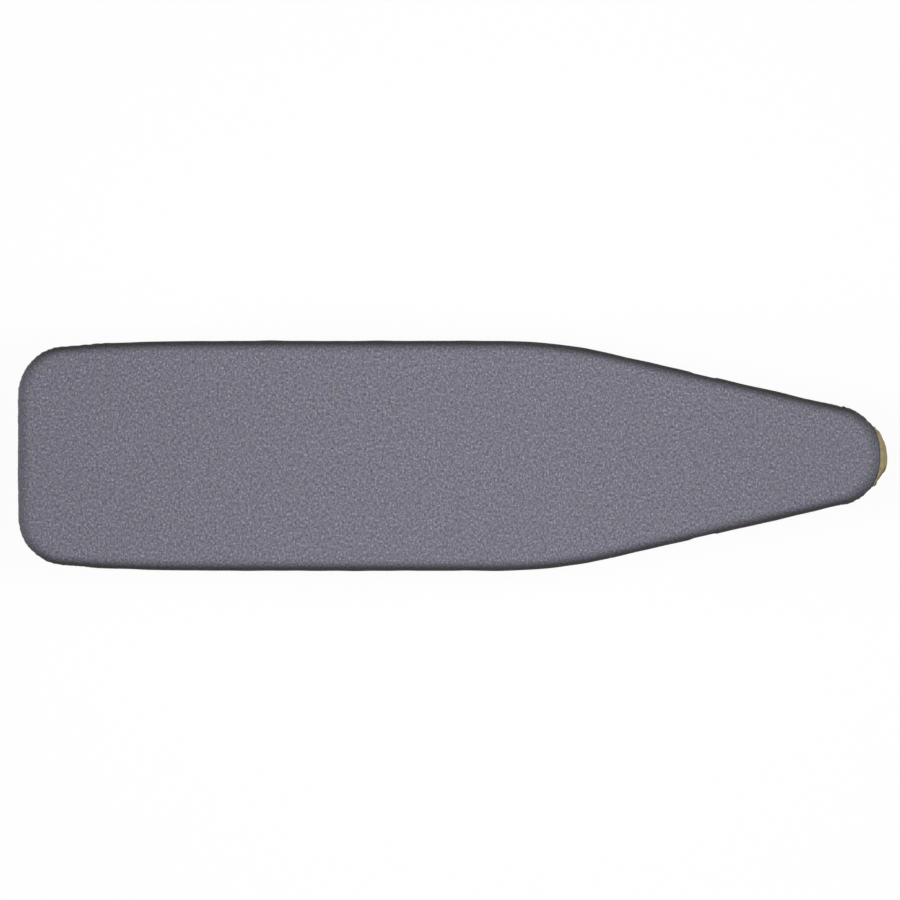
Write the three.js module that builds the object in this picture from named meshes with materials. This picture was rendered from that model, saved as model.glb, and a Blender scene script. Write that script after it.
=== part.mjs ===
// Ironing board cover in its fitted shape, with no board inside it.
// A dark heathered face cloth is drawn over a foam layer and a felt pad, rolls over the edge of
// the board and returns underneath, where a tape casing with an elastic cord in it gathers the hem.
// Three pairs of hook-and-loop straps cross the open underside, and a tan pocket closes the nose.
// Millimetres, +X towards the nose, +Z up towards the ironing face, lowest faces at Z = 0.
import * as THREE from "three";

// Plan of the face cloth, seen from above
const COVER_LENGTH = 1380;
const MAX_WIDTH = 367;
const REAR_FLAT = 196; // straight stretch of the square end, between its corners
const CORNER_RADIUS = 77;
const CORNER_LEAD = THREE.MathUtils.degToRad(5); // slope at which a side leaves the rear corner
const WIDEST_FROM_REAR = 452;
const WIDEST_EASE = 0.55; // shares of the side's run over which it keeps its direction at each end
const CORNER_EASE = 0.25;
const SHOULDER_FROM_REAR = 764; // where the sides start to curve in towards the nose
const SHOULDER_RADIUS = 841;
const NOSE_RADIUS = 80;

// Cloth, padding and the board that they are cut for
const CLOTH_THICKNESS = 0.9;
const FOAM_THICKNESS = 4;
const FELT_THICKNESS = 6;
const BOARD_RIM_HEIGHT = 26;
const EDGE_ROLL_WIDTH = 20; // the padded edge rolls over as a quarter of an ellipse
const EDGE_ROLL_HEIGHT = 26;
const HEM_FOLD = 4; // outer radius of the fold at the foot of the skirt
const RETURN_WIDTH = 45; // cloth turned under the board, from the outline to its raw edge

// Hem casing and its elastic
const ELASTIC_DIAMETER = 3.2;
const TAPE_THICKNESS = 0.8;
const TAPE_OVERLAP = 8; // stretch of tape that is stitched over the raw edge

// Nose pocket
const POCKET_THICKNESS = 0.8;
const POCKET_BULGE = 9.4; // how far its slack front stands out past the face cloth
const POCKET_SHOWS = THREE.MathUtils.degToRad(38); // half the arc of the nose on which it bulges
const POCKET_FRONT_HEIGHT = 25;
const POCKET_SIDE_HEIGHT = 9;
const POCKET_EDGE_AHEAD = 10; // its open edge, ahead of the centre of the nose's arc

// Straps under the board
const STRAP_WIDTH = 38;
const STRAP_THICKNESS = 1.2;
const PATCH_LENGTH = 40;
const PATCH_FROM_MIDDLE = 6; // the patches lie on the short strap's side of the middle
const HOOK_THICKNESS = 1.2;
const LOOP_THICKNESS = 1.2;
const STITCHED_FROM = 10; // the sewn end of a strap, inwards from the outline
const STITCHED_TO = 26;
const STRAP_DROP = 6; // length of the step from the sewn end down to the free strap
const LEVEL_RUN = 4; // level stretch of the short strap past the end of the long one
const REAR_STRAP_FROM_REAR = 240; // middles of the outer straps; the middle strap lies halfway
const FRONT_STRAP_FROM_NOSE = 284;

const CLEARANCE = 0.3; // between pieces that lie on each other

// Levels and insets that follow from the sizes above
const ELASTIC_RADIUS = ELASTIC_DIAMETER / 2;
const CASING_BORE = ELASTIC_RADIUS + CLEARANCE;
const CASING_RADIUS = CASING_BORE + TAPE_THICKNESS;
const HEM_LEVEL = STRAP_THICKNESS + CLEARANCE + CASING_RADIUS; // middle of the returned cloth
const RETURN_BOTTOM = HEM_LEVEL - CLOTH_THICKNESS / 2;
const RETURN_TOP = HEM_LEVEL + CLOTH_THICKNESS / 2;
const BOARD_TOP = RETURN_TOP + CLEARANCE + BOARD_RIM_HEIGHT;
const FELT_TOP = BOARD_TOP + FELT_THICKNESS;
const FOAM_TOP = FELT_TOP + CLEARANCE + FOAM_THICKNESS;
const FACE_TOP = FOAM_TOP + CLEARANCE + CLOTH_THICKNESS;
const ROLL_LEVEL = FACE_TOP - EDGE_ROLL_HEIGHT; // height of the centre of the padded edge's roll
const CASING_CENTRE = RETURN_WIDTH + CLEARANCE + ELASTIC_RADIUS; // inset of the elastic
const CASING_INNER = CASING_CENTRE + CASING_RADIUS;
const NOSE_CENTRE_X = COVER_LENGTH - NOSE_RADIUS;
const POCKET_OFFSET = CLEARANCE + POCKET_THICKNESS;
const OVERALL_LENGTH = COVER_LENGTH + POCKET_BULGE + POCKET_OFFSET;
const FRONT_STRAP_X = COVER_LENGTH - FRONT_STRAP_FROM_NOSE;

// Facets: steps along half of the outline, and round the small arcs of the profiles
const NOSE_STEPS = 9;
const TAPER_STEPS = 3;
const SHOULDER_STEPS = 4;
const SIDE_STEPS = 4;
const CORNER_STEPS = 7;
const REAR_STEPS = 2;
const ROLL_STEPS = 6;
const FOLD_STEPS = 3;
const CASING_STEPS = 6;
const ELASTIC_SIDES = 8;
const POCKET_WALL_STEPS = 6;

// Materials
const cloth = (color, roughness) => new THREE.MeshStandardMaterial({ color, roughness, metalness: 0 });
const faceCloth = cloth(0x7a7984, 0.8);
const paleFoam = cloth(0xd9d2bd, 0.95);
const needledFelt = cloth(0xb9b2a3, 1.0);
const tanTwill = cloth(0x8a7e66, 0.85);
const rubberThread = cloth(0xd8d5cc, 0.7);
const darkWebbing = cloth(0x35353a, 0.85);
const hookTape = cloth(0x1d1d20, 0.7);
const loopTape = cloth(0x232327, 0.95);

// The half outline from the tip of the nose round to the middle of the square end, as curves
function halfOutlineCurves() {
  const half = MAX_WIDTH / 2;
  const nose = new THREE.Vector2(NOSE_CENTRE_X, 0);
  const shoulder = new THREE.Vector2(SHOULDER_FROM_REAR, half - SHOULDER_RADIUS);
  const corner = new THREE.Vector2(CORNER_RADIUS, REAR_FLAT / 2);
  const between = shoulder.clone().sub(nose);
  // The taper is the line that touches both the nose's arc and the shoulder's arc
  const taper = Math.atan2(between.x, between.y)
    + Math.acos((NOSE_RADIUS - SHOULDER_RADIUS) / between.length());
  const onArc = (centre, radius, angle) =>
    new THREE.Vector2(Math.cos(angle), Math.sin(angle)).multiplyScalar(radius).add(centre);
  const taperAngle = Math.PI / 2 - taper;
  const cornerAngle = Math.PI / 2 + CORNER_LEAD;
  const widest = new THREE.Vector2(WIDEST_FROM_REAR, half);
  const cornerEnd = onArc(corner, CORNER_RADIUS, cornerAngle);
  const sideRun = widest.x - cornerEnd.x;
  const arc = (centre, radius, from, to) =>
    new THREE.EllipseCurve(centre.x, centre.y, radius, radius, from, to, false);
  return [
    [arc(nose, NOSE_RADIUS, 0, taperAngle), NOSE_STEPS],
    [new THREE.LineCurve(
      onArc(nose, NOSE_RADIUS, taperAngle),
      onArc(shoulder, SHOULDER_RADIUS, taperAngle),
    ), TAPER_STEPS],
    [arc(shoulder, SHOULDER_RADIUS, taperAngle, Math.PI / 2), SHOULDER_STEPS],
    [new THREE.LineCurve(new THREE.Vector2(SHOULDER_FROM_REAR, half), widest), 1],
    [new THREE.CubicBezierCurve(
      widest,
      new THREE.Vector2(widest.x - WIDEST_EASE * sideRun, half),
      new THREE.Vector2(
        cornerEnd.x + CORNER_EASE * sideRun,
        cornerEnd.y + CORNER_EASE * sideRun * Math.tan(CORNER_LEAD),
      ),
      cornerEnd,
    ), SIDE_STEPS],
    [arc(corner, CORNER_RADIUS, cornerAngle, Math.PI), CORNER_STEPS],
    [new THREE.LineCurve(new THREE.Vector2(0, corner.y), new THREE.Vector2(0, 0)), REAR_STEPS],
  ];
}

// Points of the whole outline, counterclockwise from the nose, each with its outward normal
function outlinePoints() {
  const half = [];
  for (const [curve, steps] of halfOutlineCurves()) {
    for (let k = 0; k < steps; k++) {
      const tangent = curve.getTangent(k / steps);
      half.push({ at: curve.getPoint(k / steps), normal: new THREE.Vector2(tangent.y, -tangent.x) });
    }
  }
  const rear = { at: new THREE.Vector2(0, 0), normal: new THREE.Vector2(-1, 0) };
  const mirrored = half.slice(1).reverse().map(({ at, normal }) => ({
    at: new THREE.Vector2(at.x, -at.y),
    normal: new THREE.Vector2(normal.x, -normal.y),
  }));
  return [...half, rear, ...mirrored];
}
const OUTLINE = outlinePoints();

// A point of the outline moved inwards by inset, at height z
function insetPoint({ at, normal }, inset, z) {
  return new THREE.Vector3(at.x - normal.x * inset, at.y - normal.y * inset, z);
}

// Half the width of the outline, moved inwards by inset, at x from the square end
function halfWidthAt(x, inset) {
  const points = OUTLINE.slice(0, OUTLINE.length / 2 + 1).map((p) => insetPoint(p, inset, 0));
  const k = points.findIndex((p, i) => i + 1 < points.length && p.x >= x && points[i + 1].x <= x);
  const [a, b] = [points[k], points[k + 1]];
  return THREE.MathUtils.mapLinear(x, a.x, b.x, a.y, b.y);
}

// Points of an elliptical arc in a profile, as [inset, z], from one angle to another about a centre
function profileArc(inset, z, [across, up], from, to, steps) {
  return Array.from({ length: steps + 1 }, (_, k) => {
    const angle = THREE.MathUtils.lerp(from, to, k / steps);
    return [inset - across * Math.cos(angle), z + up * Math.sin(angle)];
  });
}

// A closed geometry from points and triangles, with its faces turned outwards
function closedGeometry(points, triangles) {
  const a = new THREE.Vector3();
  const volume = triangles.reduce(
    (sum, [i, j, k]) => sum + a.copy(points[i]).cross(points[j]).dot(points[k]),
    0,
  );
  const index = triangles.flatMap(([i, j, k]) => (volume < 0 ? [i, k, j] : [i, j, k]));
  const geometry = new THREE.BufferGeometry().setFromPoints(points);
  geometry.setIndex(index);
  geometry.computeVertexNormals();
  return geometry;
}

// Triangles of the flat face inside one ring of points, wound with the ring or against it
function ringCap(points, first, count, withRing) {
  const contour = points.slice(first, first + count).map((p) => new THREE.Vector2(p.x, p.y));
  return THREE.ShapeUtils.triangulateShape(contour, []).map((face) => {
    const [i, j, k] = face.map((v) => first + v);
    const turned = THREE.ShapeUtils.area(face.map((v) => contour[v])) < 0;
    return turned === withRing ? [i, k, j] : [i, j, k];
  });
}

// Sweeps a profile of [inset, z] points round the outline: a closed ring, or a body with flat caps
function sweepRound(profile, capped) {
  const count = OUTLINE.length;
  const points = profile.flatMap(([inset, z]) => OUTLINE.map((p) => insetPoint(p, inset, z)));
  const triangles = [];
  const bands = capped ? profile.length - 1 : profile.length;
  for (let r = 0; r < bands; r++) {
    const next = (r + 1) % profile.length;
    for (let i = 0; i < count; i++) {
      const j = (i + 1) % count;
      triangles.push([r * count + i, r * count + j, next * count + j]);
      triangles.push([r * count + i, next * count + j, next * count + i]);
    }
  }
  if (capped) {
    triangles.push(...ringCap(points, 0, count, false));
    triangles.push(...ringCap(points, (profile.length - 1) * count, count, true));
  }
  return closedGeometry(points, triangles);
}

// A sheet with thickness: two like grids of points, joined round their edges
function thickSheet(outer, inner) {
  const rows = outer.length;
  const columns = outer[0].length;
  const points = [...outer.flat(), ...inner.flat()];
  const at = (side, r, c) => side * rows * columns + r * columns + c;
  const triangles = [];
  const quad = (a, b, c, d) => triangles.push([a, b, c], [a, c, d]);
  for (let r = 0; r + 1 < rows; r++) {
    for (let c = 0; c + 1 < columns; c++) {
      quad(at(0, r, c), at(0, r, c + 1), at(0, r + 1, c + 1), at(0, r + 1, c));
      quad(at(1, r, c), at(1, r + 1, c), at(1, r + 1, c + 1), at(1, r, c + 1));
    }
    quad(at(0, r, 0), at(0, r + 1, 0), at(1, r + 1, 0), at(1, r, 0));
    const last = columns - 1;
    quad(at(0, r, last), at(1, r, last), at(1, r + 1, last), at(0, r + 1, last));
  }
  for (let c = 0; c + 1 < columns; c++) {
    quad(at(0, 0, c), at(1, 0, c), at(1, 0, c + 1), at(0, 0, c + 1));
    const last = rows - 1;
    quad(at(0, last, c), at(0, last, c + 1), at(1, last, c + 1), at(1, last, c));
  }
  return closedGeometry(points, triangles);
}

// Radii of the padded edge's roll at a depth below the outside of the face cloth
function rollRadii(depth) {
  return [EDGE_ROLL_WIDTH - depth, EDGE_ROLL_HEIGHT - depth];
}

// How far the outside of the face cloth lies in from the outline at height z, on its way up the roll
function rollInset(z) {
  const climb = Math.max(z - ROLL_LEVEL, 0) / EDGE_ROLL_HEIGHT;
  return EDGE_ROLL_WIDTH * (1 - Math.sqrt(1 - climb * climb));
}

// Face cloth: flat top, padded edge, upright skirt, fold and return, as one skin with an open underside
function faceCover() {
  const foldLevel = RETURN_BOTTOM + HEM_FOLD;
  const skin = (depth, returnLevel) => {
    const fold = HEM_FOLD - depth;
    return [
      ...profileArc(EDGE_ROLL_WIDTH, ROLL_LEVEL, rollRadii(depth), Math.PI / 2, 0, ROLL_STEPS),
      ...profileArc(HEM_FOLD, foldLevel, [fold, fold], 0, -Math.PI / 2, FOLD_STEPS),
      [RETURN_WIDTH, returnLevel],
    ];
  };
  const outside = skin(0, RETURN_BOTTOM);
  const inside = skin(CLOTH_THICKNESS, RETURN_TOP);
  return sweepRound([...outside, ...inside.reverse()], true);
}

// A layer of the padded edge's roll, from its flat top at height z down to the top of the board
function paddedRoll(z) {
  const radii = rollRadii(FACE_TOP - z);
  const foot = Math.asin((BOARD_TOP - ROLL_LEVEL) / radii[1]);
  return profileArc(EDGE_ROLL_WIDTH, ROLL_LEVEL, radii, Math.PI / 2, foot, ROLL_STEPS);
}

// Foam layer behind the face cloth, bent down over the edge of the felt
function foamLayer() {
  const outside = paddedRoll(FOAM_TOP);
  const inside = paddedRoll(FOAM_TOP - FOAM_THICKNESS);
  return sweepRound([...outside, ...inside.reverse()], true);
}

// Felt pad that lies on the board, eased over at its upper edge
function feltPad() {
  return sweepRound([...paddedRoll(FELT_TOP), [EDGE_ROLL_WIDTH, BOARD_TOP]], true);
}

// Tape folded round the raw edge of the return, with a channel for the elastic at its fold
function hemCasing() {
  const tapeSide = (radius, lift) => {
    const neck = Math.asin(lift / radius);
    const round = [radius, radius];
    return [
      [RETURN_WIDTH - TAPE_OVERLAP, HEM_LEVEL + lift],
      ...profileArc(CASING_CENTRE, HEM_LEVEL, round, neck, 2 * Math.PI - neck, CASING_STEPS),
      [RETURN_WIDTH - TAPE_OVERLAP, HEM_LEVEL - lift],
    ];
  };
  const neckInside = CLOTH_THICKNESS / 2 + CLEARANCE;
  const outside = tapeSide(CASING_RADIUS, neckInside + TAPE_THICKNESS);
  const inside = tapeSide(CASING_BORE, neckInside);
  return sweepRound([...outside, ...inside.reverse()], false);
}

// Elastic cord in the casing, its ends joined, so one closed loop
function hemElastic() {
  const round = [ELASTIC_RADIUS, ELASTIC_RADIUS];
  const section = profileArc(CASING_CENTRE, HEM_LEVEL, round, 0, 2 * Math.PI, ELASTIC_SIDES);
  return sweepRound(section.slice(0, ELASTIC_SIDES), false);
}

// Tan pocket sewn under the nose: its slack front bulges past the face cloth at the tip
function nosePocket() {
  const columns = OUTLINE.slice(-NOSE_STEPS).concat(OUTLINE.slice(0, NOSE_STEPS + 1));
  const foldCentre = HEM_FOLD + POCKET_OFFSET;
  const foldLevel = RETURN_BOTTOM + HEM_FOLD;
  const edgeX = NOSE_CENTRE_X + POCKET_EDGE_AHEAD;
  const column = (point, skin) => {
    const angle = Math.min(Math.abs(Math.atan2(point.normal.y, point.normal.x)) / POCKET_SHOWS, 1);
    const swell = Math.cos(angle * Math.PI / 2);
    const top = THREE.MathUtils.lerp(POCKET_SIDE_HEIGHT, POCKET_FRONT_HEIGHT, swell);
    const wall = Array.from({ length: POCKET_WALL_STEPS + 1 }, (_, k) => {
      const down = k / POCKET_WALL_STEPS;
      const z = THREE.MathUtils.lerp(top, foldLevel, down);
      const bulge = POCKET_BULGE * swell * Math.sin(down * Math.PI / 2);
      return [rollInset(z) - CLEARANCE - skin - bulge, z];
    });
    const foldWidth = foldCentre + CLEARANCE + skin + POCKET_BULGE * swell;
    const foldHeight = foldLevel - POCKET_THICKNESS + skin;
    const fold = Array.from({ length: FOLD_STEPS }, (_, k) => {
      const down = (k + 1) / FOLD_STEPS * Math.PI / 2;
      return [foldCentre - foldWidth * Math.cos(down), foldLevel - foldHeight * Math.sin(down)];
    });
    const reach = (point.at.x - edgeX) / point.normal.x;
    return [...wall, ...fold, [reach, POCKET_THICKNESS - skin]];
  };
  const skinPoints = (skin) =>
    columns.map((point) => column(point, skin).map(([inset, z]) => insetPoint(point, inset, z)));
  return thickSheet(skinPoints(POCKET_THICKNESS), skinPoints(0));
}

// A band whose lower side runs through [y, z] points, extruded along X by the strap's width
function band(lowerSide, thickness) {
  const upperSide = lowerSide.map(([y, z]) => [y, z + thickness]).reverse();
  const outline = [...lowerSide, ...upperSide].map(([y, z]) => new THREE.Vector2(y, z));
  const geometry = new THREE.ExtrudeGeometry(new THREE.Shape(outline), {
    depth: STRAP_WIDTH,
    bevelEnabled: false,
  });
  const axes = new THREE.Matrix4().makeBasis(
    new THREE.Vector3(0, 1, 0),
    new THREE.Vector3(0, 0, 1),
    new THREE.Vector3(1, 0, 0),
  );
  return geometry.applyMatrix4(axes);
}

const cover = new THREE.Group();

// Adds one named piece to the cover, with its place along the board
function addPiece(name, geometry, material, x = 0) {
  const mesh = new THREE.Mesh(geometry, material);
  mesh.name = name;
  mesh.position.x = x - OVERALL_LENGTH / 2;
  cover.add(mesh);
}

// One pair of straps: each is sewn under the return on its own side, the long one with a hook
// patch lies below, and the short one rises over it and carries the loop patch
function addStraps(station, x) {
  const start = x - STRAP_WIDTH / 2;
  const nosewardX = x + STRAP_WIDTH / 2;
  const hinge = halfWidthAt(nosewardX, CASING_INNER + CLEARANCE);
  const sewnLevel = RETURN_BOTTOM - CLEARANCE - STRAP_THICKNESS;
  const sewnEnd = [
    [halfWidthAt(x, STITCHED_FROM), sewnLevel],
    [halfWidthAt(x, STITCHED_TO - STRAP_DROP), sewnLevel],
    [halfWidthAt(x, STITCHED_TO), 0],
    [hinge + CLEARANCE, 0],
  ];
  const onSide = (side, points) => points.map(([y, z]) => [side * y, z]);
  const patchEnd = PATCH_FROM_MIDDLE + PATCH_LENGTH;
  const hookLevel = STRAP_THICKNESS + CLEARANCE;
  const loopLevel = hookLevel + HOOK_THICKNESS + CLEARANCE;
  const shortLevel = loopLevel + LOOP_THICKNESS + CLEARANCE;
  const patch = (level) => [[PATCH_FROM_MIDDLE, level], [patchEnd, level]];
  const longStrap = [[hinge, 0], [-patchEnd, 0]];
  const shortStrap = [[hinge, 0], [patchEnd + LEVEL_RUN, shortLevel], [PATCH_FROM_MIDDLE, shortLevel]];
  addPiece(`${station}_long_strap_end`, band(onSide(-1, sewnEnd), STRAP_THICKNESS), darkWebbing, start);
  addPiece(`${station}_long_strap`, band(onSide(-1, longStrap), STRAP_THICKNESS), darkWebbing, start);
  addPiece(`${station}_hook_patch`, band(patch(hookLevel), HOOK_THICKNESS), hookTape, start);
  addPiece(`${station}_short_strap_end`, band(sewnEnd, STRAP_THICKNESS), darkWebbing, start);
  addPiece(`${station}_short_strap`, band(shortStrap, STRAP_THICKNESS), darkWebbing, start);
  addPiece(`${station}_loop_patch`, band(patch(loopLevel), LOOP_THICKNESS), loopTape, start);
}

addPiece("face_cover", faceCover(), faceCloth);
addPiece("foam_layer", foamLayer(), paleFoam);
addPiece("felt_pad", feltPad(), needledFelt);
addPiece("hem_casing", hemCasing(), tanTwill);
addPiece("hem_elastic", hemElastic(), rubberThread);
addPiece("nose_pocket", nosePocket(), tanTwill);
addStraps("rear", REAR_STRAP_FROM_REAR);
addStraps("middle", (REAR_STRAP_FROM_REAR + FRONT_STRAP_X) / 2);
addStraps("front", FRONT_STRAP_X);

export default cover;
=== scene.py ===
"""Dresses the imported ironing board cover: stretched cloth, padding, gathered hem, nose pocket and straps."""
import bisect
import math

import bmesh
import bpy
from mathutils import Matrix, Vector, noise


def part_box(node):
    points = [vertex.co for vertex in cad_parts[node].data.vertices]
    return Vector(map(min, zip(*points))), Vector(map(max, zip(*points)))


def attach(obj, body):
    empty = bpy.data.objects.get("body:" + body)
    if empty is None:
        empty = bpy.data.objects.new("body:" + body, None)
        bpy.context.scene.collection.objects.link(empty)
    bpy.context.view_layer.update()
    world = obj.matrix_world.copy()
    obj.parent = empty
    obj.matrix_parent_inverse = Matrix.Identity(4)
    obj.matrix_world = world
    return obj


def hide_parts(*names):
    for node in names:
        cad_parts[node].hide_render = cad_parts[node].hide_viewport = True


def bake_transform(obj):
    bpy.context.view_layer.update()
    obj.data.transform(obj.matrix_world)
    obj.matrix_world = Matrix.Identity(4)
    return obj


bl_info = {
    "name": "Ironing board cover",
    "version": (1, 0, 0),
    "blender": (4, 5, 0),
    "location": "View3D > Sidebar > Cover",
    "description": "Builds a padded ironing board cover round its packed frame",
    "category": "Object",
}

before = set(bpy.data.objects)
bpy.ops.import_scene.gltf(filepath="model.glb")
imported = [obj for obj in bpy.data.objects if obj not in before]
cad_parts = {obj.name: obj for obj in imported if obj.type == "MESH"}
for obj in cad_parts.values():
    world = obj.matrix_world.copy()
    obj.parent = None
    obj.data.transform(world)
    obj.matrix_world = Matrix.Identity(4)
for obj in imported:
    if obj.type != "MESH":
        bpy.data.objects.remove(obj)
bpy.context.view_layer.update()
FACE_LOW, FACE_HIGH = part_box("face_cover")
FOAM_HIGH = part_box("foam_layer")[1]
FELT_LOW, FELT_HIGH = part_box("felt_pad")
CASING_LOW, CASING_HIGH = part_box("hem_casing")
ELASTIC_LOW, ELASTIC_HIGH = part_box("hem_elastic")
POCKET_LOW, POCKET_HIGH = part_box("nose_pocket")
FRONT_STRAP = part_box("front_long_strap")

STATIONS = ("rear", "middle", "front")
STRAP_MIDDLES = [sum(end.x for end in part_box(f"{station}_long_strap")) / 2 for station in STATIONS]
HEM_LEVEL = (CASING_LOW.z + CASING_HIGH.z) / 2
ELASTIC_RADIUS = (ELASTIC_HIGH.z - ELASTIC_LOW.z) / 2
CLEARANCE = 0.0003  # between pieces that lie on each other
THREAD_STANDS = 0.0001  # middle of a stitch above the cloth
LEVEL_TOLERANCE = 1e-5
QUARTER = math.pi / 2
UP, DOWN = Vector((0, 0, 1)), Vector((0, 0, -1))


def length_property(name, description, default):
    """A length that a user would change, in metres."""
    return bpy.props.FloatProperty(name=name, description=description, default=default, unit="LENGTH")


class CoverSizes(bpy.types.PropertyGroup):
    """Sizes of the cover that a user would change"""

    nose_radius: length_property("Nose radius", "Arc of the edge round the nose", 0.080)
    shoulder_radius: length_property("Shoulder radius", "Arc from the parallel sides into the taper", 0.841)
    shoulder_from_rear: length_property("Shoulder from rear", "Where the sides start to curve in", 0.764)
    widest_from_rear: length_property("Widest from rear", "Where the sides are widest", 0.452)
    corner_radius: length_property("Corner radius", "Arc of the square end's corners", 0.077)
    corner_lead: bpy.props.FloatProperty(
        name="Corner lead", description="Slope at which a side leaves its corner",
        default=math.radians(5), subtype="ANGLE")
    rear_flat: length_property("Rear flat", "Straight stretch of the square end", 0.196)
    roll_width: length_property("Roll width", "Padded edge's roll, in plan", 0.020)
    roll_height: length_property("Roll height", "Padded edge's roll, in height", 0.0345)
    hem_fold: length_property("Hem fold", "Radius of the fold under the skirt", 0.004)
    return_width: length_property("Return width", "Cloth turned under the board", 0.045)
    cloth_thickness: length_property("Cloth thickness", "Thickness of the face cloth", 0.0009)
    tape_thickness: length_property("Tape thickness", "Thickness of the casing's tape", 0.0008)
    tape_overlap: length_property("Tape overlap", "Tape stitched over the raw edge", 0.008)
    gather_straight: length_property(
        "Gather on straights", "Height of the hem's gathers along the sides", 0.0045)
    gather_bend: length_property(
        "Gather on bends", "Height of the hem's gathers round corners and nose", 0.0075)
    gather_pitch: length_property("Gather pitch", "Half the spacing of the hem's gathers", 0.009)
    stitch_pitch: length_property("Stitch pitch", "From one stitch to the next", 0.0032)
    floor_drop: length_property("Floor drop", "Floor below the cover, so that opened straps hang clear", 0.2)


def linear_value(screen):
    """Linear light of one screen channel of 0 to 255."""
    share = screen / 255
    return share / 12.92 if share <= 0.04045 else ((share + 0.055) / 1.055) ** 2.4


def colour_property(name, description, red, green, blue):
    """A colour that a user would change, given as the screen shows it, in 0 to 255."""
    linear = [linear_value(value) for value in (red, green, blue)]
    return bpy.props.FloatVectorProperty(
        name=name, description=description, default=linear, subtype="COLOR", size=3, min=0.0, max=1.0)


class CoverColours(bpy.types.PropertyGroup):
    """Colours of the cover that a user would change"""

    heather_dark: colour_property("Heather dark", "Dark yarns of the face cloth", 73, 74, 84)
    heather_mid: colour_property("Heather mid", "Middle yarns of the face cloth", 148, 148, 159)
    heather_pale: colour_property("Heather pale", "Pale flecks of the face cloth", 196, 196, 206)
    tan: colour_property("Tan", "Nose pocket and hem tape", 190, 175, 135)
    tan_dark: colour_property("Tan dark", "Shaded yarns of the tan twill", 126, 111, 80)
    felt: colour_property("Felt", "Needled felt pad", 178, 170, 154)
    felt_dark: colour_property("Felt dark", "Dark fibres of the felt", 96, 92, 88)
    foam: colour_property("Foam", "Foam layer", 222, 212, 182)
    elastic: colour_property("Elastic", "Elastic cord in the hem", 214, 210, 200)
    webbing: colour_property("Webbing", "Elastic straps", 54, 54, 60)
    # Webbing pale is the painted highlight on the straps' raised yarns
    webbing_pale: colour_property("Webbing pale", "Raised yarns of the straps", 88, 88, 94)
    hooks: colour_property("Hooks", "Hook patches", 30, 30, 33)
    loops: colour_property("Loops", "Loop patches", 40, 40, 44)
    thread: colour_property("Thread", "Sewing thread on the straps", 142, 141, 148)
    tan_thread: colour_property("Tan thread", "Sewing thread on the tan tape", 228, 218, 194)
    floor: colour_property("Floor", "Floor and background", 255, 255, 255)


# Plan of the edge


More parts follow.
